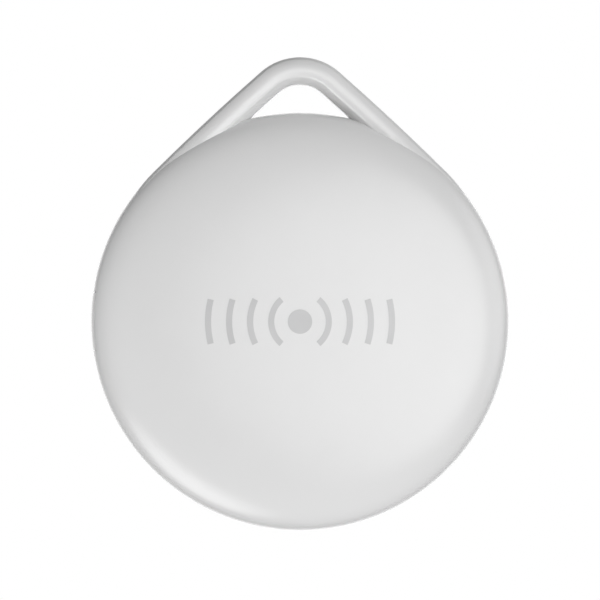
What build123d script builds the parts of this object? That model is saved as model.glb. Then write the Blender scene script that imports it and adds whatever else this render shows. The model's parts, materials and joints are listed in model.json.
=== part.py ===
from build123d import *
import os
from math import asin, atan2, cos, degrees, radians, sin, sqrt

# Bluetooth tracker tag: a round glossy pebble with a key loop moulded on its front shell.
# Millimetres. +Z up through the loop, the domed front faces -Y, the flat back lies at y = 0.
# The axis of the round body is the Y axis. "Depth" is a y value, so the front has the lowest.

# --- driving dimensions ---------------------------------------------------------------------
BODY_RADIUS = 19.0          # widest, at the waist
CROWN = -8.2                # middle of the front dome
WAIST = -4.0                # depth of the widest ring
SEAM = -2.3                 # where front shell and rear cover meet
CROWN_PULL = 15.0           # the front's curve leaves the crown this flat
RIM_PULL = 3.1              # and reaches the waist this upright
WALL = 1.1
RIM_DRAFT = 0.05            # how much the shell narrows from waist to seam
EDGE_BREAK = 0.1

LOOP_WIDTH = 2.5            # across the strand, seen from the front
LOOP_APEX_RADIUS = 5.4      # outer edge round the top
LEG_BOW_RADIUS = 220.0      # the legs bulge very slightly
LEG_TANGENT = 44.8          # degrees from the top to where a leg leaves the round body
LOOP_BACK = -2.6
LOOP_CORNER = 0.45          # radius of the strand's two back corners
LOOP_TAIL_RADIUS = 12.0     # the strand's hidden ends curl into the body
LOOP_TAIL_TURN = 16.0

BORE_RADIUS = 17.35         # sealing bore for the rear cover
BORE_END = -4.6
BOARD_RADIUS = 16.9
BOARD_FRONT = -5.65
BOARD_BACK = -4.85
BOARD_SEAT_RADIUS = 16.6
BOARD_POCKET_RADIUS = 17.0

CELL_RADIUS = 10.0          # 2032 coin cell
CELL_FRONT = -4.6
CELL_BACK = -1.4
CELL_WALL = 0.22
CELL_MOUTH_RADIUS = 9.25
CELL_CAP_RADIUS = 8.7

CRADLE_INNER = 10.2
CRADLE_OUTER = 11.0
CRADLE_BACK = -1.7
EAR_BACK = -4.05
EAR_WIDTH = 4.0
FINGER_ANGLES = (60, 180, 300)
FINGER_WIDTH = 7.0
FINGER_DEPTH = 1.2
CONTACT_ANGLE = 206
CONTACT_WIDTH = 2.4
SCREW_CIRCLE = 13.2
SCREW_ANGLES = (0, 120, 240)
SCREW_RADIUS = 0.7
SCREW_TIP = -6.35
SCREW_HEAD_RADIUS = 1.1
SCREW_HEAD_HEIGHT = 0.6
BOSS_RADIUS = 1.5
TOOLING_CIRCLE = 15.3
TOOLING_ANGLES = (152, 318)
TOOLING_RADIUS = 0.5

CHIP_CIRCLE = 13.3          # the larger parts sit on this circle round the cell
RADIO_ANGLE = 47
RADIO_CRYSTAL_ANGLE = 23
CLOCK_CRYSTAL_ANGLE = 341
ACCELEROMETER_ANGLE = 318
INDUCTOR_ANGLE = 291
TRANSISTOR_ANGLE = 221
ANTENNA_ANGLE = 90
ANTENNA_CIRCLE = 13.9

COVER_RADIUS = BODY_RADIUS - RIM_DRAFT
COVER_ROUND = 2.1
COVER_PLATE = 1.0
COVER_LIP_OUTER = 17.25
COVER_LIP_INNER = 15.8
COVER_LIP_END = -4.3
GROOVE_RADIUS = 16.55
GROOVE_FRONT = -3.95
GROOVE_BACK = -2.65
SEAL_RADIUS = 17.32

TAB_HALF_WIDTH = 2.6        # lift tab of the cover, let into the rim on the -X side
TAB_FRONT = -5.2
TAB_INNER = 17.95
TAB_GAP = 0.08
NICK_RADIUS = 0.42          # groove for a fingernail along the tab

NIB_RADIUS = 0.5            # peg inside the dome that reaches the switch
NIB_GAP = 0.02
PIEZO_RADIUS = 7.5
PIEZO_SEAT = -6.55
PIEZO_LEDGE = 0.8
PIEZO_SHEET = 0.15
CERAMIC_RADIUS = 5.0
GLUE_THICKNESS = 0.05

SWITCH_Z = -10.5
SWITCH_FRONT = -6.1
PLUNGER_TIP = -6.25
PLUNGER_RADIUS = 0.6

MARK_THICKNESS = 0.03
MARK_LINE = 0.55
MARK_DOT_RADIUS = 1.1
MARK_ARC_RADII = (2.6, 4.5, 6.4, 8.3)
MARK_HALF_HEIGHT = 2.0

TOUCH = 0.02                # clearance of pieces that rest on each other but come apart

# --- worked out from them -------------------------------------------------------------------
INNER_CROWN = CROWN + WALL


# --- helpers --------------------------------------------------------------------------------
def turned(*lines):
    """Solid of revolution about the body's axis, from a closed outline in radius and depth."""
    return revolve(make_face(Curve() + list(lines)), Axis.Y)


def disc(radius, front, back, x=0, z=0):
    standing = Cylinder(radius, back - front)
    return Pos(x, (front + back) / 2, z) * Rot(-90, 0, 0) * standing


def ring(inner, outer, front, back, x=0, z=0):
    return disc(outer, front, back, x, z) - disc(inner, front - 1, back + 1, x, z)


def slab(length, width, front, back, x=0, z=0):
    """Box between two depths: length along X, width along Z."""
    return Pos(x, (front + back) / 2, z) * Box(length, back - front, width)


def around(shape, angle):
    """Turn a shape about the body's axis: 0 is +X, 90 is up."""
    return Rot(0, -angle, 0) * shape


def shell_curve(inset=0.0, forward=0.0):
    """Front of the body in half section, from the crown to the waist.

    An inset gives the inside of the wall, the same curve drawn smaller.
    """
    radius = BODY_RADIUS - inset
    crown = CROWN + inset
    pull_out = CROWN_PULL * radius / BODY_RADIUS
    pull_up = RIM_PULL * (WAIST - crown) / (WAIST - CROWN)
    controls = [(0, crown), (pull_out, crown), (radius, WAIST - pull_up), (radius, WAIST)]
    return Bezier(*[(x, y - forward) for x, y in controls])


def joined(pieces):
    return Compound(children=list(pieces))


# --- front housing --------------------------------------------------------------------------
def front_solid():
    """The round front body before it is hollowed."""
    seam_radius = BODY_RADIUS - RIM_DRAFT
    rest = Polyline(
        (BODY_RADIUS, WAIST),
        (seam_radius, SEAM - EDGE_BREAK),
        (seam_radius - EDGE_BREAK, SEAM),
        (0, SEAM),
        (0, CROWN),
    )
    return turned(shell_curve(), rest)


def front_cavity():
    """Everything that is hollowed out of the front body: dome, board pocket and sealing bore."""
    across = Polyline((BODY_RADIUS - WALL, WAIST), (0, WAIST), (0, INNER_CROWN))
    dome = turned(shell_curve(WALL), across) & disc(BOARD_SEAT_RADIUS, CROWN, WAIST)
    lead_in = 2.5 * EDGE_BREAK
    bore = Polyline(
        (0, BOARD_FRONT),
        (BOARD_POCKET_RADIUS, BOARD_FRONT),
        (BOARD_POCKET_RADIUS, BORE_END),
        (BORE_RADIUS, BORE_END),
        (BORE_RADIUS, SEAM - lead_in),
        (BORE_RADIUS + lead_in, SEAM),
        (BORE_RADIUS + lead_in, 0),
        (0, 0),
        close=True,
    )
    return dome + turned(bore)


def loop_section():
    """Strand of the key loop: steep outer flank, crowned front, tight shoulder, steep inner flank.

    Across the strand from its middle line, outer edge first, and forward of y = 0.
    """
    half = LOOP_WIDTH / 2
    back = -LOOP_BACK
    corner = LOOP_CORNER
    outer_edge = (-half, 4.76)
    outer_front = (-1.02, 5.25)
    front = (0.4, 5.523)
    shoulder = (0.6, 5.362)
    inner_edge = (half - 0.05, 4.0)
    outer_back = -half + 0.03
    return make_face(
        Curve()
        + [
            Line(outer_edge, outer_front),
            ThreePointArc(outer_front, (-0.2, 5.6), front),
            ThreePointArc(front, (0.514, 5.46), shoulder),
            ThreePointArc(shoulder, (0.928, 4.693), inner_edge),
            Line(inner_edge, (half, back + corner)),
            RadiusArc((half, back + corner), (half - corner, back), corner),
            Line((half - corner, back), (outer_back + corner, back)),
            RadiusArc((outer_back + corner, back), (outer_back, back + corner), corner),
            Line((outer_back, back + corner), outer_edge),
        ]
    )


def loop_path():
    """Middle line of the strand, from inside the rim on the right over the top to the left."""
    start = 90 - LEG_TANGENT
    swing = LEG_BOW_RADIUS - BODY_RADIUS
    bow_x = -swing * cos(radians(start))
    bow_z = -swing * sin(radians(start))
    reach = LEG_BOW_RADIUS - LOOP_APEX_RADIUS
    apex_z = bow_z + sqrt(reach**2 - bow_x**2)
    top = degrees(atan2(apex_z - bow_z, -bow_x))
    half = LOOP_WIDTH / 2
    tail_x = (BODY_RADIUS - LOOP_TAIL_RADIUS) * cos(radians(start))
    tail_z = (BODY_RADIUS - LOOP_TAIL_RADIUS) * sin(radians(start))
    tail_line = LOOP_TAIL_RADIUS - half
    turn = LOOP_TAIL_TURN
    tail = CenterArc((tail_x, tail_z), tail_line, start - turn, turn)
    leg = CenterArc((bow_x, bow_z), LEG_BOW_RADIUS - half, start, top - start)
    apex = CenterArc((0, apex_z), LOOP_APEX_RADIUS - half, top, 180 - 2 * top)
    left_leg = CenterArc((-bow_x, bow_z), LEG_BOW_RADIUS - half, 180 - top, top - start)
    left_tail = CenterArc((-tail_x, tail_z), tail_line, 180 - start, turn)
    upright = Plane(origin=(0, 0, 0), x_dir=(1, 0, 0), z_dir=(0, -1, 0))
    return upright * Wire([tail.edge(), leg.edge(), apex.edge(), left_leg.edge(), left_tail.edge()])


def key_loop():
    path = loop_path()
    start = path @ 0
    forward = path % 0
    inward = Vector(-forward.Z, 0, forward.X)
    plane = Plane(origin=start, x_dir=inward, z_dir=forward)
    return sweep(plane * loop_section(), path=path)


def lift_tab_space(gap):
    """The piece of the rim that the cover's lift tab fills, grown by a gap all round."""
    reach = BODY_RADIUS + 1
    front = TAB_FRONT - 1.2 * gap
    box = slab(reach, 2 * (TAB_HALF_WIDTH + gap), front, SEAM + TOUCH, -reach / 2)
    return box - disc(TAB_INNER - gap, front - 1, 1)


def front_housing():
    body = front_solid() + key_loop() - front_cavity()
    for angle in SCREW_ANGLES:
        body += around(disc(BOSS_RADIUS, INNER_CROWN, BOARD_BACK, SCREW_CIRCLE), angle)
    for angle in SCREW_ANGLES:
        body -= around(disc(SCREW_RADIUS, SCREW_TIP - 0.1, 0, SCREW_CIRCLE), angle)
    body += ring(PIEZO_RADIUS - PIEZO_LEDGE, PIEZO_RADIUS, INNER_CROWN, PIEZO_SEAT)
    body += switch_nib()
    body -= lift_tab_space(TAB_GAP)
    return body


def switch_nib():
    """Small peg inside the dome that reaches the switch."""
    return disc(NIB_RADIUS, INNER_CROWN, PLUNGER_TIP - NIB_GAP, 0, SWITCH_Z)


# --- printed mark ---------------------------------------------------------------------------
def printed_mark():
    """Film of ink on the dome: a dot with radio waves on both sides."""
    shapes = [Pos(0, 0, CROWN) * Cylinder(MARK_DOT_RADIUS, 6)]
    for radius in MARK_ARC_RADII:
        spread = degrees(asin(MARK_HALF_HEIGHT / radius))
        for side in (0, 180):
            arc = CenterArc((0, 0), radius, side - spread, 2 * spread)
            shapes.append(Pos(0, 0, CROWN - 3) * extrude(trace(arc, MARK_LINE), 6))
    film = turned(
        shell_curve(),
        Line((BODY_RADIUS, WAIST), (BODY_RADIUS, WAIST - MARK_THICKNESS)),
        shell_curve(forward=MARK_THICKNESS),
        Line((0, CROWN - MARK_THICKNESS), (0, CROWN)),
    )
    return joined(film & (Rot(-90, 0, 0) * shape) for shape in shapes)


# --- rear cover -----------------------------------------------------------------------------
def cover_shell():
    """Plate with a rounded rim and a lip that plugs into the sealing bore."""
    round_centre = COVER_RADIUS - COVER_ROUND
    flange = SEAM + TOUCH
    plate = -COVER_PLATE
    rim = CenterArc((round_centre, -COVER_ROUND), COVER_ROUND, 0, 90)
    rest = Polyline(
        (round_centre, 0),
        (0, 0),
        (0, plate),
        (COVER_LIP_INNER, plate),
        (COVER_LIP_INNER, COVER_LIP_END),
        (COVER_LIP_OUTER - EDGE_BREAK, COVER_LIP_END),
        (COVER_LIP_OUTER, COVER_LIP_END + EDGE_BREAK),
        (COVER_LIP_OUTER, GROOVE_FRONT),
        (GROOVE_RADIUS, GROOVE_FRONT),
        (GROOVE_RADIUS, GROOVE_BACK),
        (COVER_LIP_OUTER, GROOVE_BACK),
        (COVER_LIP_OUTER, flange),
        (COVER_RADIUS - EDGE_BREAK, flange),
        (COVER_RADIUS, flange + EDGE_BREAK),
        (COVER_RADIUS, -COVER_ROUND),
    )
    return turned(rim, rest)


def lift_tab():
    """Tongue on the cover's edge, flush with the rim, with a groove for a fingernail."""
    space = lift_tab_space(0) + slab(2, 2 * TAB_HALF_WIDTH, SEAM, -1.9, -COVER_RADIUS + 1)
    tab = space & (front_solid() + disc(COVER_RADIUS, SEAM - EDGE_BREAK, -1.9))
    nick = Cylinder(NICK_RADIUS, 2 * TAB_HALF_WIDTH - 2 * NICK_RADIUS)
    return tab - Pos(-BODY_RADIUS - 0.12, -3.25, 0) * nick


def lift_arrow():
    """Triangle cut into the back beside the lift tab, pointing at it."""
    corners = [(-15.4, 0), (-13.9, 0.9), (-13.9, -0.9)]
    flat = Plane(origin=(0, 0, 0), x_dir=(1, 0, 0), z_dir=(0, -1, 0))
    return extrude(flat * make_face(Polyline(*corners, close=True)), 0.15)


def rear_cover():
    return cover_shell() + lift_tab() - lift_arrow()


def cover_seal():
    """O-ring, pressed into shape between the groove and the bore."""
    section = Pos((GROOVE_RADIUS + TOUCH / 2 + SEAL_RADIUS) / 2, (GROOVE_FRONT + GROOVE_BACK) / 2)
    width = SEAL_RADIUS - GROOVE_RADIUS - TOUCH / 2
    outline = RectangleRounded(width, GROOVE_BACK - GROOVE_FRONT - 0.1, 0.3)
    return revolve(section * outline, Axis.Y)


def foam_pad():
    return disc(6.0, CELL_BACK + TOUCH, -COVER_PLATE)


# --- battery cradle -------------------------------------------------------------------------
def cradle_ear(angle):
    length = SCREW_CIRCLE - CRADLE_OUTER + 0.4
    arm = slab(length, EAR_WIDTH, BOARD_BACK, EAR_BACK, SCREW_CIRCLE - length / 2)
    ear = arm + disc(EAR_WIDTH / 2, BOARD_BACK, EAR_BACK, SCREW_CIRCLE)
    return around(ear, angle)


def battery_cradle():
    """Ring round the cell with three screw ears, finger cut-outs and a slot for the contact."""
    body = ring(CRADLE_INNER, CRADLE_OUTER, BOARD_BACK, CRADLE_BACK)
    for angle in SCREW_ANGLES:
        body += cradle_ear(angle)
    for angle in SCREW_ANGLES:
        hole = disc(SCREW_RADIUS + 0.1, BOARD_BACK - 1, EAR_BACK + 1, SCREW_CIRCLE)
        body -= around(hole, angle)
    body -= disc(CRADLE_INNER, BOARD_BACK - 1, 0)
    wall_middle = (CRADLE_INNER + CRADLE_OUTER) / 2
    cut_out = slab(2, FINGER_WIDTH, CRADLE_BACK - FINGER_DEPTH, 0, wall_middle)
    for angle in FINGER_ANGLES:
        body -= around(cut_out, angle)
    slot = slab(2, CONTACT_WIDTH + 0.4, BOARD_BACK - 1, 0, wall_middle)
    return body - around(slot, CONTACT_ANGLE)


def cradle_screw():
    """Self-tapping pan head screw with a cross recess, its head towards the back."""
    head_back = EAR_BACK + SCREW_HEAD_HEIGHT
    head = disc(SCREW_HEAD_RADIUS, EAR_BACK, head_back)
    head = chamfer(head.edges().group_by(Axis.Y)[-1], 0.2)
    shank = disc(SCREW_RADIUS - 0.01, SCREW_TIP, EAR_BACK)
    shank = chamfer(shank.edges().group_by(Axis.Y)[0], 0.25)
    recess = slab(1.3, 0.28, head_back - 0.35, 0) + slab(0.28, 1.3, head_back - 0.35, 0)
    return head + shank - recess


def cradle_screws():
    screw = Pos(SCREW_CIRCLE, 0, 0) * cradle_screw()
    return joined(around(screw, angle) for angle in SCREW_ANGLES)


# --- coin cell ------------------------------------------------------------------------------
def cell_can():
    """Positive can: its flat side faces the rear cover, its mouth is crimped over the grommet."""
    body = disc(CELL_RADIUS, CELL_FRONT + 0.2, CELL_BACK)
    body = fillet(body.edges().group_by(Axis.Y)[-1], 0.5)
    body = chamfer(body.edges().group_by(Axis.Y)[0], 0.3)
    body -= disc(CELL_RADIUS - CELL_WALL, CELL_FRONT + 0.45, CELL_BACK - CELL_WALL)
    body -= disc(CELL_MOUTH_RADIUS, CELL_FRONT, CELL_FRONT + 1)
    plus = slab(2.4, 0.5, CELL_BACK - 0.05, 0, 0, 5.4) + slab(0.5, 2.4, CELL_BACK - 0.05, 0, 0, 5.4)
    return body - plus


def cell_cap():
    """Negative cap: a shallow cup that looks out of the can's mouth."""
    body = disc(CELL_CAP_RADIUS, CELL_FRONT, CELL_BACK - 0.9)
    body = fillet(body.edges().group_by(Axis.Y)[0], 0.4)
    return body - disc(CELL_CAP_RADIUS - CELL_WALL, CELL_FRONT + CELL_WALL, CELL_BACK)


def cell_grommet():
    """Nylon ring between can and cap."""
    gap = 0.01
    inner = CELL_CAP_RADIUS + gap
    return ring(inner, CELL_MOUTH_RADIUS - gap, CELL_FRONT + 0.15, CELL_BACK - 0.4)


def cell_core():
    """Lithium disc, separator and cathode as one plain stack."""
    margin = 0.03
    radius = CELL_CAP_RADIUS - CELL_WALL - margin
    return disc(radius, CELL_FRONT + CELL_WALL + margin, CELL_BACK - CELL_WALL - margin)


# --- circuit board --------------------------------------------------------------------------
def main_board():
    body = disc(BOARD_RADIUS, BOARD_FRONT, BOARD_BACK)
    front, back = BOARD_FRONT - 1, BOARD_BACK + 1
    for angle in SCREW_ANGLES:
        body -= around(disc(BOSS_RADIUS + 0.12, front, back, SCREW_CIRCLE), angle)
    for angle in TOOLING_ANGLES:
        body -= around(disc(TOOLING_RADIUS, front, back, TOOLING_CIRCLE), angle)
    return body


def placed(body, angle, radius=CHIP_CIRCLE):
    """Move a piece out along +X, then turn it round the board."""
    return around(Pos(radius, 0, 0) * body, angle)


def soften(body, amount):
    """Break the edges of a moulded package on its outer face."""
    return chamfer(body.edges().group_by(Axis.Y)[-1], amount)


def radio_chip():
    chip = soften(slab(4, 4, BOARD_BACK, BOARD_BACK + 0.85), 0.06)
    chip -= disc(0.22, BOARD_BACK + 0.8, 0, -1.4, 1.4)
    return placed(chip, RADIO_ANGLE)


def metal_can(length, width, height):
    """Crystal package: ceramic base with a slightly smaller metal lid."""
    base = slab(length, width, BOARD_BACK, BOARD_BACK + 0.6 * height)
    lid = slab(length - 0.3, width - 0.3, BOARD_BACK + 0.6 * height, BOARD_BACK + height)
    return base + lid


def radio_crystal():
    return placed(metal_can(2.0, 1.6, 0.5), RADIO_CRYSTAL_ANGLE)


def clock_crystal():
    return placed(metal_can(1.5, 3.2, 0.8), CLOCK_CRYSTAL_ANGLE)


def accelerometer():
    chip = soften(slab(2, 2, BOARD_BACK, BOARD_BACK + 0.9), 0.05)
    return placed(chip, ACCELEROMETER_ANGLE)


def chip_antenna():
    body = soften(slab(1.6, 3.2, BOARD_BACK, BOARD_BACK + 1.1), 0.08)
    return placed(body, ANTENNA_ANGLE, ANTENNA_CIRCLE)


def chip_parts(size, places):
    """Same-size ceramic parts at (radius, angle, turn): length along the radius when unturned."""
    length, width, height = size
    body = slab(length, width, BOARD_BACK, BOARD_BACK + height)
    return joined(placed(around(body, turn), angle, radius) for radius, angle, turn in places)


def capacitors():
    near_radio = [(r, a, 90) for a in (35, 59) for r in (12.0, 13.1, 14.2)]
    matching = [(13.0, 72, 90), (14.2, 78, 0)]
    power = [(r, a, 0) for a in (194, 260, 276) for r in (12.2, 14.4)]
    return chip_parts((1.0, 0.5, 0.5), near_radio + matching + power)


def resistors():
    row = [(r, a, 0) for a in (104, 108, 305, 309) for r in (12.4, 14.4)]
    return chip_parts((1.0, 0.5, 0.35), row)


def boost_inductor():
    body = soften(slab(2.5, 2.0, BOARD_BACK, BOARD_BACK + 1.0), 0.1)
    return placed(body, INDUCTOR_ANGLE)


def driver_transistor():
    """Small three-legged package."""
    body = soften(slab(1.3, 2.9, BOARD_BACK + 0.05, BOARD_BACK + 1.0), 0.1)
    legs = [(-0.95, 0), (0.95, 0.95), (0.95, -0.95)]
    for x, z in legs:
        body += slab(0.7, 0.4, BOARD_BACK, BOARD_BACK + 0.15, x, z)
    return placed(body, TRANSISTOR_ANGLE)


def test_pads():
    places = [(radius, angle) for angle in (140, 146, 160) for radius in (12.4, 14.2)]
    pad = disc(0.45, BOARD_BACK, BOARD_BACK + 0.03)
    return joined(placed(pad, angle, radius) for radius, angle in places)


# --- contacts -------------------------------------------------------------------------------
def bent_strip(points, thickness, width):
    """Sheet metal strip through points in radius and depth, its width along Z."""
    flat = trace(Polyline(*points), thickness)
    return extrude(flat, width / 2, both=True)


def positive_contact():
    """Clip soldered outside the cradle that leans through its slot on the side of the cell."""
    height = BOARD_BACK + 0.1
    outline = [(13.4, height), (11.7, height), (11.1, -3.9), (10.2, -2.6), (10.9, -1.9)]
    return around(bent_strip(outline, 0.15, CONTACT_WIDTH), CONTACT_ANGLE)


def negative_contact():
    """Leaf under the cell with three raised dimples."""
    body = ring(0.8, 3.4, BOARD_BACK, BOARD_BACK + 0.1)
    for angle in (90, 210, 330):
        dimple = disc(0.45, BOARD_BACK + 0.1, CELL_FRONT - TOUCH, 2.2)
        body += around(dimple, angle)
    return body


# --- sounder --------------------------------------------------------------------------------
def piezo_adhesive():
    inner = PIEZO_RADIUS - PIEZO_LEDGE + 0.05
    return ring(inner, PIEZO_RADIUS - 0.1, PIEZO_SEAT, PIEZO_SEAT + GLUE_THICKNESS)


def piezo_plate():
    front = PIEZO_SEAT + GLUE_THICKNESS
    return disc(PIEZO_RADIUS, front, front + PIEZO_SHEET)


def piezo_ceramic():
    front = PIEZO_SEAT + GLUE_THICKNESS + PIEZO_SHEET
    return disc(CERAMIC_RADIUS, front, front + PIEZO_SHEET)


def piezo_springs():
    """Two fingers from the board: one touches the brass, one the silvered ceramic."""
    brass = PIEZO_SEAT + GLUE_THICKNESS + PIEZO_SHEET
    foot = BOARD_FRONT - 0.06
    fingers = []
    for reach, tip in ((6.2, brass), (2.5, brass + PIEZO_SHEET)):
        touch = tip + 0.07
        outline = [(reach + 3.2, foot), (reach + 1.2, foot), (reach + 0.3, touch), (reach - 0.3, touch)]
        fingers.append(bent_strip(outline, 0.1, 1.0))
    return joined([fingers[0], around(fingers[1], 180)])


# --- button switch --------------------------------------------------------------------------
def switch_body():
    body = slab(3.2, 2.6, SWITCH_FRONT, BOARD_FRONT, 0, SWITCH_Z)
    body -= disc(1.1, SWITCH_FRONT + 0.12, BOARD_FRONT - 0.06, 0, SWITCH_Z)
    return body - disc(PLUNGER_RADIUS + 0.1, -7, SWITCH_FRONT + 0.2, 0, SWITCH_Z)


def switch_terminals():
    feet = [(x, z) for x in (-1.9, 1.9) for z in (-0.85, 0.85)]
    return joined(slab(0.6, 0.5, BOARD_FRONT - 0.1, BOARD_FRONT, x, SWITCH_Z + z) for x, z in feet)


def switch_dome():
    """Snap disc: a low cone with a flat top that reaches the plunger."""
    base = BOARD_FRONT - 0.07
    top = SWITCH_FRONT + 0.21
    sheet = 0.06
    outline = Polyline(
        (0.35, top),
        (1.0, base - sheet),
        (1.0, base),
        (0.92, base),
        (0.32, top + sheet),
        (0, top + sheet),
        (0, top),
        close=True,
    )
    return Pos(0, 0, SWITCH_Z) * turned(outline)


def switch_plunger():
    stem = disc(PLUNGER_RADIUS, PLUNGER_TIP, SWITCH_FRONT + 0.2, 0, SWITCH_Z)
    flange = disc(0.95, SWITCH_FRONT + 0.14, SWITCH_FRONT + 0.2, 0, SWITCH_Z)
    return stem + flange


PARTS = [
    front_housing, printed_mark, rear_cover, cover_seal, foam_pad, battery_cradle, cradle_screws,
    cell_can, cell_cap, cell_grommet, cell_core, main_board, radio_chip, radio_crystal,
    clock_crystal, accelerometer, chip_antenna, capacitors, resistors, boost_inductor,
    driver_transistor, test_pads, positive_contact, negative_contact, piezo_adhesive,
    piezo_plate, piezo_ceramic, piezo_springs, switch_body, switch_terminals, switch_dome,
    switch_plunger,
]

os.makedirs("parts", exist_ok=True)
for make in PARTS:
    export_step(make(), f"parts/{make.__name__}.step")
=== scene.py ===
import json
import math

import bmesh
import bpy
from mathutils import Matrix, Vector

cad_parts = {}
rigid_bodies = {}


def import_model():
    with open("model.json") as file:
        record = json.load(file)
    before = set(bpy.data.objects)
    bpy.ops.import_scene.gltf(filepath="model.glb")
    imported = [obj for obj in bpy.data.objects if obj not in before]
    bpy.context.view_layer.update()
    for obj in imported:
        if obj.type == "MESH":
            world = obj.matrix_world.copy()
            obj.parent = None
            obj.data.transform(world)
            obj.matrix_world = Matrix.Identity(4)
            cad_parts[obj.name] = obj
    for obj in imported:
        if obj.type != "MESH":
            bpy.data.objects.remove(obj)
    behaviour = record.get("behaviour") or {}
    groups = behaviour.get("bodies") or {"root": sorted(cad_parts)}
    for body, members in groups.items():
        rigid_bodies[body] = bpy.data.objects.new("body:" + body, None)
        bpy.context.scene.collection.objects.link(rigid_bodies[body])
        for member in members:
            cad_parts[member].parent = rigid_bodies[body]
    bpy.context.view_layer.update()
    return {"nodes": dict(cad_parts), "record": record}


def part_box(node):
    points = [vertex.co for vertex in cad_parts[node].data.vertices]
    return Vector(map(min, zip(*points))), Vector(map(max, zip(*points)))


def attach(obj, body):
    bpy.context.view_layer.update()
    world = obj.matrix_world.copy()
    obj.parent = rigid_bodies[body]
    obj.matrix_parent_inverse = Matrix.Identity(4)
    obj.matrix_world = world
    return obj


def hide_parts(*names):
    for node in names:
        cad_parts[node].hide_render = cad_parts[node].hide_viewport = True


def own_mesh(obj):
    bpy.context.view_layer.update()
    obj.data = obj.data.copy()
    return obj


for default in list(bpy.data.objects):
    bpy.data.objects.remove(default)
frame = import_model()
NODES = frame["nodes"]
MM = 0.001


# --- camera ---------------------------------------------------------------------------------
FRAME_WIDTH = 54.6 * MM
FRAME_CENTRE = Vector((0.0, -4 * MM, 1.95 * MM))
LENS = 300.0
SENSOR = 36.0


def make_camera():
    """Long lens, square on to the front, level with a point just above the disc's middle."""
    data = bpy.data.cameras.new("front_camera")
    data.lens = LENS
    data.sensor_width = SENSOR
    camera = bpy.data.objects.new("front_camera", data)
    bpy.context.collection.objects.link(camera)
    distance = FRAME_WIDTH * LENS / SENSOR
    camera.location = FRAME_CENTRE + Vector((0, -distance, 0))
    camera.rotation_euler = (math.radians(90), 0, 0)
    bpy.context.scene.camera = camera


# --- light ----------------------------------------------------------------------------------
AMBIENT = 0.05
SOFT_LIGHTS = [
    # degrees off the line to the camera, clock direction (0 right, 90 up), spread, strength
    (25, 0, 35, 3.4),  # key, a large softbox just right of the camera
    (0, 0, 15, 1.0),  # small front light at the camera
    (45, 180, 25, 0.5),  # fill, left
    (70, 235, 30, 4.0),  # strip, low on the left, for the streak inside the rim
    (80, 10, 35, 1.5),  # side, right
    (90, 150, 45, 0.4),  # side, left and high
    (180, 0, 60, 1.5),  # back light, square on to the cover
]


def direction(off_axis, clock):
    """Unit vector towards a light seen from the tag, given from the camera's side."""
    off, turn = math.radians(off_axis), math.radians(clock)
    return Vector((math.sin(off) * math.cos(turn), -math.cos(off), math.sin(off) * math.sin(turn)))


def add_lobe(tree, total, off_axis, clock, spread, strength):
    """Add one soft round patch of light to the sky's brightness."""
    nodes, links = tree.nodes, tree.links
    where = nodes.new("ShaderNodeTexCoord")
    dot = nodes.new("ShaderNodeVectorMath")
    dot.operation = "DOT_PRODUCT"
    dot.inputs[1].default_value = direction(off_axis, clock)
    fade = nodes.new("ShaderNodeMapRange")
    fade.interpolation_type = "SMOOTHSTEP"
    fade.inputs["From Min"].default_value = math.cos(math.radians(spread))
    fade.inputs["From Max"].default_value = 1.0
    fade.inputs["To Max"].default_value = strength
    add = nodes.new("ShaderNodeMath")
    links.new(where.outputs["Generated"], dot.inputs[0])
    links.new(dot.outputs["Value"], fade.inputs["Value"])
    links.new(total, add.inputs[0])
    links.new(fade.outputs["Result"], add.inputs[1])
    return add.outputs[0]


def make_world(ambient, lights):
    """Plain white behind the tag, and soft studio light round it."""
    world = bpy.data.worlds.new("studio")
    world.use_nodes = True
    tree = world.node_tree
    nodes, links = tree.nodes, tree.links
    nodes.clear()
    base = nodes.new("ShaderNodeValue")
    base.outputs[0].default_value = ambient
    total = base.outputs[0]
    for light in lights:
        total = add_lobe(tree, total, *light)
    sky = nodes.new("ShaderNodeBackground")
    links.new(total, sky.inputs["Strength"])
    white = nodes.new("ShaderNodeBackground")
    sky.inputs["Color"].default_value = white.inputs["Color"].default_value = (1, 1, 1, 1)
    path = nodes.new("ShaderNodeLightPath")
    mix = nodes.new("ShaderNodeMixShader")
    out = nodes.new("ShaderNodeOutputWorld")
    links.new(path.outputs["Is Camera Ray"], mix.inputs[0])
    links.new(sky.outputs[0], mix.inputs[1])
    links.new(white.outputs[0], mix.inputs[2])
    links.new(mix.outputs[0], out.inputs[0])
    bpy.context.scene.world = world
    bpy.context.scene.view_settings.view_transform = "Standard"


# --- materials ------------------------------------------------------------------------------
COLOURS = {entry["slot"]: entry["base_color"] for entry in frame["record"]["materials"]}
NOISE_LOW = 0.3
NOISE_HIGH = 0.7


def grain(tree, size, stretch=(1, 1, 1), detail=2.0):
    """Noise through the piece's own space, with features of about this size in metres."""
    where = tree.nodes.new("ShaderNodeTexCoord")
    scale = tree.nodes.new("ShaderNodeMapping")
    scale.inputs["Scale"].default_value = stretch
    noise = tree.nodes.new("ShaderNodeTexNoise")
    noise.inputs["Scale"].default_value = 1 / size
    noise.inputs["Detail"].default_value = detail
    tree.links.new(where.outputs["Object"], scale.inputs["Vector"])
    tree.links.new(scale.outputs["Vector"], noise.inputs["Vector"])
    return noise.outputs["Fac"]


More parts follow.
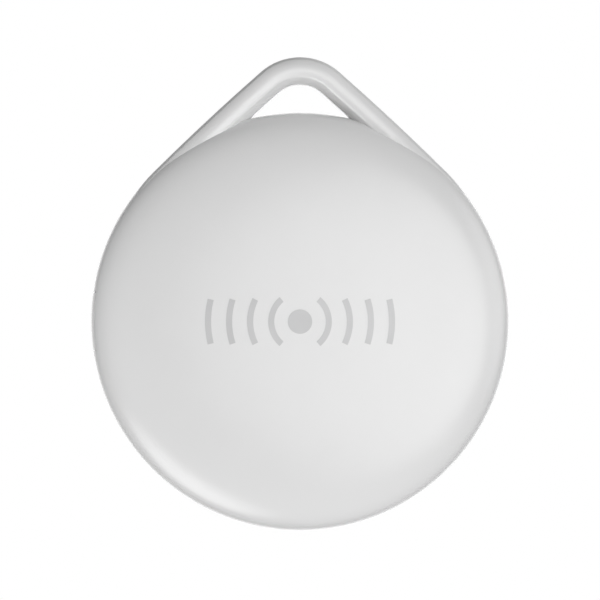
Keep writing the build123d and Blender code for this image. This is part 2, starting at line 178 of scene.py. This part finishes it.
def turned_grain(tree, size):
    """Fine rings about the tag's axis, as a lathe or a round brush leaves them."""
    where = tree.nodes.new("ShaderNodeTexCoord")
    flat = tree.nodes.new("ShaderNodeVectorMath")
    flat.operation = "MULTIPLY"
    flat.inputs[1].default_value = (1, 0, 1)
    radius = tree.nodes.new("ShaderNodeVectorMath")
    radius.operation = "LENGTH"
    noise = tree.nodes.new("ShaderNodeTexNoise")
    noise.noise_dimensions = "1D"
    noise.inputs["Scale"].default_value = 1 / size
    noise.inputs["Detail"].default_value = 3.0
    tree.links.new(where.outputs["Object"], flat.inputs[0])
    tree.links.new(flat.outputs["Vector"], radius.inputs[0])
    tree.links.new(radius.outputs["Value"], noise.inputs["W"])
    return noise.outputs["Fac"]


def pores(tree, size):
    """Small round cells."""
    where = tree.nodes.new("ShaderNodeTexCoord")
    cells = tree.nodes.new("ShaderNodeTexVoronoi")
    cells.inputs["Scale"].default_value = 1 / size
    tree.links.new(where.outputs["Object"], cells.inputs["Vector"])
    return cells.outputs["Distance"]


def weave(tree, size):
    """Crossed threads, as in glass laminate under the solder mask."""
    where = tree.nodes.new("ShaderNodeTexCoord")
    bands = []
    for axis in ("X", "Z"):
        wave = tree.nodes.new("ShaderNodeTexWave")
        wave.bands_direction = axis
        wave.inputs["Scale"].default_value = 0.3 / size
        wave.inputs["Distortion"].default_value = 0.3
        tree.links.new(where.outputs["Object"], wave.inputs["Vector"])
        bands.append(wave.outputs["Fac"])
    cross = tree.nodes.new("ShaderNodeMath")
    cross.operation = "MULTIPLY"
    tree.links.new(bands[0], cross.inputs[0])
    tree.links.new(bands[1], cross.inputs[1])
    return cross.outputs[0]


def ranged(tree, fac, low, high):
    """Stretch a noise value's usual range to run from low to high."""
    reach = tree.nodes.new("ShaderNodeMapRange")
    reach.inputs["From Min"].default_value = NOISE_LOW
    reach.inputs["From Max"].default_value = NOISE_HIGH
    reach.inputs["To Min"].default_value = low
    reach.inputs["To Max"].default_value = high
    tree.links.new(fac, reach.inputs["Value"])
    return reach.outputs["Result"]


def finish(slot, roughness, metallic=0.0, colour=None, tint=0.03, wear=0.08, patch=3.0,
           texture=None, **settings):
    """Material of a slot: mottled colour and roughness, and a relief from one or more textures.

    tint and wear are the shares by which colour and roughness vary. Colour varies over patches
    of this many millimetres, roughness over finer ones. texture is a list of
    (pattern, feature size, height) in millimetres. settings are further shader sockets.
    """
    colour = colour or COLOURS[slot]
    material = bpy.data.materials.new(slot)
    material.use_nodes = True
    tree = material.node_tree
    shader = tree.nodes["Principled BSDF"]
    shader.inputs["Metallic"].default_value = metallic
    for name, value in settings.items():
        shader.inputs[name.replace("_", " ")].default_value = value
    mottle = grain(tree, patch * MM)
    tones = tree.nodes.new("ShaderNodeMix")
    tones.data_type = "RGBA"
    tones.inputs["A"].default_value = (*(channel * (1 - tint) for channel in colour), 1)
    tones.inputs["B"].default_value = (*(min(1, channel * (1 + tint)) for channel in colour), 1)
    tree.links.new(ranged(tree, mottle, 0, 1), tones.inputs["Factor"])
    tree.links.new(tones.outputs["Result"], shader.inputs["Base Color"])
    worn = grain(tree, 0.4 * patch * MM, detail=4.0)
    rough = ranged(tree, worn, (1 - wear) * roughness, (1 + wear) * roughness)
    tree.links.new(rough, shader.inputs["Roughness"])
    normal = None
    for pattern, size, height in texture or [(grain, 0.05, 0.0005)]:
        bump = tree.nodes.new("ShaderNodeBump")
        bump.inputs["Distance"].default_value = height * MM
        tree.links.new(pattern(tree, size * MM), bump.inputs["Height"])
        if normal:
            tree.links.new(normal, bump.inputs["Normal"])
        normal = bump.outputs["Normal"]
    tree.links.new(normal, shader.inputs["Normal"])
    return material


SHELL_GREY = (0.80, 0.80, 0.80)
MOULD_PEEL = (grain, 1.6, 0.0002)
SPARK_GRAIN = (grain, 0.12, 0.003)
FINISHES = {
    "shell_white": dict(roughness=0.18, colour=SHELL_GREY, tint=0.004, wear=0.03, texture=[MOULD_PEEL]),
    "cover_white": dict(roughness=0.24, colour=SHELL_GREY, tint=0.006, wear=0.04, texture=[MOULD_PEEL]),
    "print_grey": dict(roughness=0.21, colour=(0.59, 0.59, 0.595), wear=0.03, texture=[MOULD_PEEL]),
    "seal_rubber": dict(roughness=0.5, tint=0.15, texture=[(grain, 0.3, 0.004)]),
    "foam_grey": dict(roughness=0.9, tint=0.12, patch=0.5, texture=[(pores, 0.16, 0.03)]),
    "cradle_black": dict(roughness=0.42, tint=0.1, texture=[SPARK_GRAIN]),
    "screw_steel": dict(roughness=0.28, metallic=1.0, tint=0.08, texture=[(grain, 0.08, 0.002)]),
    "board_green": dict(roughness=0.3, tint=0.08, texture=[(weave, 0.35, 0.004)], Coat_Weight=0.4),
    "chip_black": dict(roughness=0.55, tint=0.15, patch=0.6, texture=[(grain, 0.05, 0.003)]),
    "crystal_metal": dict(roughness=0.3, metallic=1.0, tint=0.05, texture=[(grain, 0.08, 0.001)]),
    "antenna_ceramic": dict(roughness=0.35, tint=0.03, texture=[(grain, 0.08, 0.002)]),
    "capacitor_tan": dict(roughness=0.4, tint=0.12, patch=0.5, texture=[(grain, 0.06, 0.002)]),
    "resistor_black": dict(roughness=0.25, tint=0.1, texture=[(grain, 0.1, 0.001)]),
    "inductor_grey": dict(roughness=0.6, tint=0.12, patch=0.5, texture=[(grain, 0.06, 0.004)]),
    "pad_gold": dict(roughness=0.25, metallic=1.0, tint=0.06, texture=[(grain, 0.1, 0.001)]),
    "contact_nickel": dict(roughness=0.25, metallic=1.0, tint=0.05, texture=[(grain, 0.1, 0.001)]),
    "glue_clear": dict(roughness=0.3, tint=0.06, texture=[(grain, 0.5, 0.01)]),
    "piezo_brass": dict(roughness=0.3, metallic=1.0, tint=0.06, texture=[(turned_grain, 0.05, 0.0008)]),
    "piezo_silver": dict(roughness=0.5, metallic=0.7, tint=0.05, texture=[(grain, 0.08, 0.003)]),
    "spring_gold": dict(roughness=0.22, metallic=1.0, tint=0.05, texture=[(grain, 0.1, 0.001)]),
    "switch_black": dict(roughness=0.45, tint=0.1, texture=[SPARK_GRAIN]),
    "terminal_tin": dict(roughness=0.32, metallic=1.0, tint=0.08, patch=0.4,
                         texture=[(grain, 0.08, 0.003)]),
    "can_steel": dict(roughness=0.24, metallic=1.0, tint=0.04, texture=[(turned_grain, 0.06, 0.0012)]),
    "cap_steel": dict(roughness=0.26, metallic=1.0, tint=0.04, texture=[(pores, 0.5, 0.01)]),
    "grommet_nylon": dict(roughness=0.45, tint=0.1, texture=[(grain, 0.1, 0.002)]),
    "electrode_dark": dict(roughness=0.8, tint=0.2, patch=0.4, texture=[(grain, 0.05, 0.01)]),
    "plunger_white": dict(roughness=0.35, tint=0.03, texture=[SPARK_GRAIN]),
}
MATERIALS = {slot: finish(slot, **settings) for slot, settings in FINISHES.items()}
MASKED_COPPER = finish("board_green", 0.28, colour=(0.05, 0.24, 0.13), tint=0.06, Coat_Weight=0.4)
MASKED_COPPER.name = "masked_copper"
LEGEND_WHITE = finish("print_grey", 0.5, colour=(0.78, 0.78, 0.76), tint=0.05)
LEGEND_WHITE.name = "legend_white"

for part in frame["record"]["subparts"]:
    for slot in NODES[part["node"]].material_slots:
        slot.material = MATERIALS[part["material_slot"]]


# --- mesh helpers ---------------------------------------------------------------------------
def add_piece(name, mesh_data, body, slot, material=None):
    """Make a piece of a finished mesh, riding on a body, with its slot's material or its own."""
    mesh = bpy.data.meshes.new(name)
    bmesh.ops.recalc_face_normals(mesh_data, faces=mesh_data.faces)
    mesh_data.to_mesh(mesh)
    mesh_data.free()
    mesh.materials.append(material or MATERIALS[slot])
    piece = bpy.data.objects.new(name, mesh)
    bpy.context.collection.objects.link(piece)
    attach(piece, body)
    return piece


def facing(angle):
    """Turn about the tag's axis: 0 leaves +X alone, 90 swings it up."""
    return Matrix.Rotation(-math.radians(angle), 4, "Y")


def add_block(mesh_data, place, size, bevel):
    """Box with rounded edges, size along the place's own axes."""
    made = bmesh.ops.create_cube(mesh_data, size=1, matrix=place @ Matrix.Diagonal((*size, 1)))
    edges = list({edge for vert in made["verts"] for edge in vert.link_edges})
    bmesh.ops.bevel(mesh_data, geom=edges, offset=bevel, segments=2, profile=0.5, affect="EDGES")


def add_prism(mesh_data, place, outline, width):
    """Closed outline in the place's X and Y, given a width along its Z."""
    sides = []
    for z in (-width / 2, width / 2):
        sides.append([mesh_data.verts.new(place @ Vector((x, y, z))) for x, y in outline])
    mesh_data.faces.new(sides[0])
    mesh_data.faces.new(reversed(sides[1]))
    for i in range(len(outline)):
        j = (i + 1) % len(outline)
        mesh_data.faces.new((sides[0][i], sides[0][j], sides[1][j], sides[1][i]))


def add_ribbon(mesh_data, points, width, base, height, closed=False):
    """Thin raised line along points in the board's plane."""
    count = len(points)
    rows = []
    for i, point in enumerate(points):
        before = points[i - 1] if closed or i else point
        after = points[(i + 1) % count] if closed or i < count - 1 else point
        along_in = (point - before).normalized() if point != before else (after - point).normalized()
        along_out = (after - point).normalized() if after != point else along_in
        along = (along_in + along_out).normalized()
        across = Vector((-along.y, along.x)) * width / 2 / max(0.5, along.dot(along_in))
        row = []
        for side, depth in ((1, base), (0.8, base + height), (-0.8, base + height), (-1, base)):
            x, z = point + side * across
            row.append(mesh_data.verts.new((x, depth, z)))
        rows.append(row)
    for i in range(count if closed else count - 1):
        here, there = rows[i], rows[(i + 1) % count]
        for k in range(4):
            m = (k + 1) % 4
            mesh_data.faces.new((here[k], here[m], there[m], there[k]))
    if not closed:
        mesh_data.faces.new(rows[0])
        mesh_data.faces.new(reversed(rows[-1]))


def polar(radius, angle):
    """Point in the board's plane, as (x, z), with the angle in degrees from +X."""
    turn = math.radians(angle)
    return Vector((radius * math.cos(turn), radius * math.sin(turn)))


def arc(radius, start, end):
    """Points about three degrees apart."""
    steps = max(1, round(abs(end - start) / 3))
    return [polar(radius, start + (end - start) * i / steps) for i in range(steps + 1)]


def solids(node):
    """Corner points of each separate solid in a CAD node."""
    mesh_data = bmesh.new()
    mesh_data.from_mesh(NODES[node].data)
    bmesh.ops.remove_doubles(mesh_data, verts=mesh_data.verts, dist=0.0001 * MM)
    left = set(mesh_data.verts)
    found = []
    while left:
        group = [left.pop()]
        for vert in group:
            for edge in vert.link_edges:
                other = edge.other_vert(vert)
                if other in left:
                    left.remove(other)
                    group.append(other)
        found.append([vert.co.copy() for vert in group])
    mesh_data.free()
    return sorted(found, key=lambda corners: (corners[0].x, corners[0].z))


def fitted(corners, angle=None):
    """Middle and size of a box-like solid, with its own X along its length.

    Without an angle, the length is the longer side seen from behind.
    """
    middle = sum(corners, Vector()) / len(corners)
    if angle is None:
        xx = sum((c.x - middle.x) ** 2 - (c.z - middle.z) ** 2 for c in corners)
        xz = sum(2 * (c.x - middle.x) * (c.z - middle.z) for c in corners)
        angle = math.degrees(math.atan2(xz, xx) / 2)
    back = facing(angle).inverted()
    local = [back @ corner for corner in corners]
    low = Vector(min(point[axis] for point in local) for axis in range(3))
    high = Vector(max(point[axis] for point in local) for axis in range(3))
    return facing(angle) @ Matrix.Translation((low + high) / 2), high - low


def polar_angle(node):
    """Direction from the tag's axis to the middle of a node, in degrees."""
    low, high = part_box(node)
    return math.degrees(math.atan2(low.z + high.z, low.x + high.x))


# --- circuit board --------------------------------------------------------------------------
BOARD_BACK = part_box("main_board")[1].y
COPPER = 0.02 * MM
TRACE_WIDTH = 0.16 * MM
VIA_RADIUS = 0.17 * MM
VIA_WIDTH = 0.12 * MM
LEGEND_WIDTH = 0.1 * MM
LEGEND_HEIGHT = 0.012 * MM
FILLET_REACH = 0.12 * MM
NETS = [
    # arc radius, then angle and inner radius of each end, in millimetres and degrees
    (15.95, (54, 15.4), (103, 15.0)),
    (16.2, (51, 15.4), (139, 14.7)),
    (16.45, (48, 15.4), (161, 14.7)),
    (15.95, (43, 15.4), (25, 14.4)),
    (16.2, (40, 15.1), (-17, 14.1)),
    (16.45, (34, 14.8), (-43, 14.8)),
    (15.95, (-66, 14.8), (-81, 15.0)),
    (16.2, (-70, 14.8), (-136, 14.6)),
    (16.45, (-54, 15.0), (-150, 14.2)),
    (15.95, (-165, 15.0), (-199, 14.8)),
    (16.2, (-160, 15.0), (-216, 14.8)),
    (11.4, (33, 11.7), (62, 11.8)),
    (11.4, (70, 12.6), (103, 12.0)),
    (11.4, (135, 12.0), (163, 12.0)),
    (11.4, (-20, 12.2), (-50, 12.0)),
    (11.4, (-78, 11.8), (-100, 11.8)),
]


def board_traces():
    """Raised copper lines under the solder mask: out from a part, round the rim, and in again."""
    lines = bmesh.new()
    for radius, (start, start_radius), (end, end_radius) in NETS:
        points = [polar(start_radius * MM, start)]
        points += arc(radius * MM, start, end)
        points.append(polar(end_radius * MM, end))
        add_ribbon(lines, points, TRACE_WIDTH, BOARD_BACK, COPPER)
    add_piece("board_traces", lines, "housing", "board_green", MASKED_COPPER)


def board_vias():
    """Plated rings where the lines go through the board."""
    rings = bmesh.new()
    for radius, *ends in NETS:
        for angle, _ in ends:
            centre = polar(radius * MM, angle)
            ring = [centre + polar(VIA_RADIUS, step) for step in range(0, 360, 24)]
            add_ribbon(rings, ring, VIA_WIDTH, BOARD_BACK, 1.6 * COPPER, closed=True)
    add_piece("board_vias", rings, "housing", "pad_gold")


def board_legend():
    """White outlines round the larger parts, with a dot at the first pin."""
    lines = bmesh.new()
    margin = 0.25 * MM
    dot_radius = 0.09 * MM
    for node in ("radio_chip", "radio_crystal", "clock_crystal", "accelerometer", "boost_inductor"):
        place, size = fitted(solids(node)[0], polar_angle(node))
        corners = []
        for x, z in ((1, 1), (-1, 1), (-1, -1), (1, -1)):
            corner = place @ Vector((x * (size.x / 2 + margin), 0, z * (size.z / 2 + margin)))
            corners.append(Vector((corner.x, corner.z)))
        add_ribbon(lines, corners, LEGEND_WIDTH, BOARD_BACK, LEGEND_HEIGHT, closed=True)
        spot = corners[0] * 1.03
        dot = [spot + polar(dot_radius, step) for step in range(0, 360, 30)]
        add_ribbon(lines, dot, LEGEND_WIDTH, BOARD_BACK, LEGEND_HEIGHT, closed=True)
    add_piece("board_legend", lines, "housing", "print_grey", LEGEND_WHITE)


def add_fillet(solder, place, side, size):
    """Concave wedge of solder at one end of a part."""
    foot = -size.y / 2
    climb = 0.6 * size.y
    x = size.x / 2
    outline = [
        (x, foot),
        (x + FILLET_REACH, foot),
        (x + 0.5 * FILLET_REACH, foot + 0.25 * climb),
        (x, foot + climb),
    ]
    add_prism(solder, place, [(side * a, b) for a, b in outline], 0.9 * size.z)


def terminated_parts(node, body_slot, wrap, solder):
    """Ceramic parts with metal ends, soldered at both, in place of plain blocks."""
    bodies, ends = bmesh.new(), bmesh.new()
    trim = 0.04 * MM
    for corners in solids(node):
        place, size = fitted(corners)
        add_block(bodies, place, size - Vector((wrap, trim, trim)), 0.02 * MM)
        for side in (-1, 1):
            shift = Matrix.Translation((side * (size.x - wrap) / 2, 0, 0))
            add_block(ends, place @ shift, (wrap, size.y, size.z), 0.05 * MM)
            add_fillet(solder, place, side, size)
    body = add_piece(node + "_bodies", bodies, "housing", body_slot)
    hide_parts(node)
    add_piece(node + "_ends", ends, "housing", "terminal_tin")


def end_bands(node, wrap, proud, solder):
    """Plated bands round both ends of one larger part."""
    bands = bmesh.new()
    place, size = fitted(solids(node)[0])
    for side in (-1, 1):
        shift = Matrix.Translation((side * (size.x - wrap) / 2, 0, 0))
        band = (wrap + proud, size.y + proud, size.z + proud)
        add_block(bands, place @ shift, band, 0.06 * MM)
        add_fillet(solder, place, side, size)
    add_piece(node + "_bands", bands, "housing", "terminal_tin")


def edge_pads(node, per_side, pitch):
    """Flush metal pads round the foot of a leadless chip."""
    pads = bmesh.new()
    place, size = fitted(solids(node)[0], polar_angle(node))
    thick, wide, tall = 0.04 * MM, 0.24 * MM, 0.2 * MM
    for quarter in range(4):
        turned = place @ facing(90 * quarter)
        for i in range(per_side):
            along = (i - (per_side - 1) / 2) * pitch
            spot = Matrix.Translation((size.x / 2, (tall - size.y) / 2, along))
            add_block(pads, turned @ spot, (thick, tall, wide), 0.01 * MM)
    add_piece(node + "_pads", pads, "housing", "terminal_tin")


def transistor():
    """Moulded body with three bent legs."""
    place, size = fitted(solids("driver_transistor")[0], polar_angle("driver_transistor"))
    foot = -size.y / 2
    half = 0.65 * MM
    leg_top = foot + 0.5 * MM
    moulding, legs = bmesh.new(), bmesh.new()
    body_height = size.y - 0.08 * MM
    shift = Matrix.Translation((0, (size.y - body_height) / 2, 0))
    add_block(moulding, place @ shift, (2 * half, body_height, size.z * 0.92), 0.09 * MM)
    metal = 0.12 * MM
    reach = size.x / 2
    knee = half + 0.22 * MM
    profile = [
        (half - 0.1 * MM, leg_top),
        (knee, leg_top),
        (knee + 0.12 * MM, foot + metal),
        (reach, foot + metal),
        (reach, foot),
        (knee + 0.02 * MM, foot),
        (knee - 0.08 * MM, leg_top - metal),
        (half - 0.1 * MM, leg_top - metal),
    ]
    for side, across in ((-1, 0.0), (1, 0.95 * MM), (1, -0.95 * MM)):
        spot = Matrix.Translation((0, 0, across))
        add_prism(legs, place @ spot, [(side * x, y) for x, y in profile], 0.4 * MM)
    body = add_piece("transistor_body", moulding, "housing", "chip_black")
    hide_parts("driver_transistor")
    add_piece("transistor_legs", legs, "housing", "terminal_tin")


def board_details():
    """All that Blender adds to the circuit board."""
    board_traces()
    board_vias()
    board_legend()
    solder = bmesh.new()
    terminated_parts("capacitors", "capacitor_tan", 0.26 * MM, solder)
    terminated_parts("resistors", "resistor_black", 0.2 * MM, solder)
    end_bands("chip_antenna", 0.4 * MM, 0.02 * MM, solder)
    end_bands("boost_inductor", 0.5 * MM, 0.02 * MM, solder)
    edge_pads("radio_chip", 7, 0.5 * MM)
    edge_pads("accelerometer", 3, 0.5 * MM)
    transistor()
    add_piece("solder_fillets", solder, "housing", "terminal_tin")


# --- switch ---------------------------------------------------------------------------------
def snap_dome():
    """The switch's snap disc, copied into a piece with a mesh of its own; its flattening under the
    plunger is not modelled here.
    """
    dome = bmesh.new()
    dome.from_mesh(NODES["switch_dome"].data)
    piece = add_piece("snap_dome", dome, "housing", "contact_nickel")
    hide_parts("switch_dome")
    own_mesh(piece)


# --- foam pad -------------------------------------------------------------------------------
def foam_pad():
    """Die-cut foam disc on the inside of the cover: pressed edges, a slightly swollen face."""
    low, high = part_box("foam_pad")
    radius = (high.x - low.x) / 2
    thick = high.y - low.y
    # shares of the radius and of the thickness
    profile = [(1.0, 0.0), (1.0, 0.35), (0.985, 0.75), (0.95, 0.9), (0.8, 0.97), (0.45, 1.0)]
    foam = bmesh.new()
    turns = 72
    rows = []
    for share, lift in profile:
        row = []
        for step in range(turns):
            x, z = polar(share * radius, 360 * step / turns)
            row.append(foam.verts.new((x, high.y - lift * thick, z)))
        rows.append(row)
    for inner, outer in zip(rows, rows[1:]):
        for i in range(turns):
            j = (i + 1) % turns
            foam.faces.new((inner[i], inner[j], outer[j], outer[i]))
    foam.faces.new(rows[0])
    foam.faces.new(reversed(rows[-1]))
    for face in foam.faces:
        face.smooth = len(face.verts) == 4
    pad = add_piece("foam_disc", foam, "rear_cover", "foam_grey")
    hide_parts("foam_pad")


# --- floor ----------------------------------------------------------------------------------
FLOOR_RADIUS = 3.0
FLOOR_HEIGHT = -0.6
FLOOR_SOLID = 0.3 * FLOOR_RADIUS
FLOOR_GREY = 0.9
FLOOR_GLOW = 0.55


def make_floor():
    """Pale self-lit floor far below the hanging tag, fading out to nothing at its edge."""
    disc = bmesh.new()
    bmesh.ops.create_circle(disc, cap_ends=True, segments=96, radius=FLOOR_RADIUS)
    mesh = bpy.data.meshes.new("floor")
    disc.to_mesh(mesh)
    disc.free()
    floor = bpy.data.objects.new("floor", mesh)
    bpy.context.collection.objects.link(floor)
    floor.location.z = FLOOR_HEIGHT
    for rays in ("visible_diffuse", "visible_glossy", "visible_transmission", "visible_shadow"):
        setattr(floor, rays, False)
    material = bpy.data.materials.new("pale_floor")
    material.use_nodes = True
    tree = material.node_tree
    shader = tree.nodes["Principled BSDF"]
    shader.inputs["Base Color"].default_value = (FLOOR_GREY, FLOOR_GREY, FLOOR_GREY, 1)
    shader.inputs["Roughness"].default_value = 0.9
    shader.inputs["Emission Color"].default_value = (1, 1, 1, 1)
    shader.inputs["Emission Strength"].default_value = FLOOR_GLOW
    where = tree.nodes.new("ShaderNodeTexCoord")
    radius = tree.nodes.new("ShaderNodeVectorMath")
    radius.operation = "LENGTH"
    fade = tree.nodes.new("ShaderNodeMapRange")
    fade.interpolation_type = "SMOOTHSTEP"
    fade.inputs["From Min"].default_value = FLOOR_RADIUS
    fade.inputs["From Max"].default_value = FLOOR_SOLID
    tree.links.new(where.outputs["Object"], radius.inputs[0])
    tree.links.new(radius.outputs["Value"], fade.inputs["Value"])
    tree.links.new(fade.outputs["Result"], shader.inputs["Alpha"])
    mesh.materials.append(material)


make_camera()
make_world(AMBIENT, SOFT_LIGHTS)
make_floor()
board_details()
snap_dome()
foam_pad()
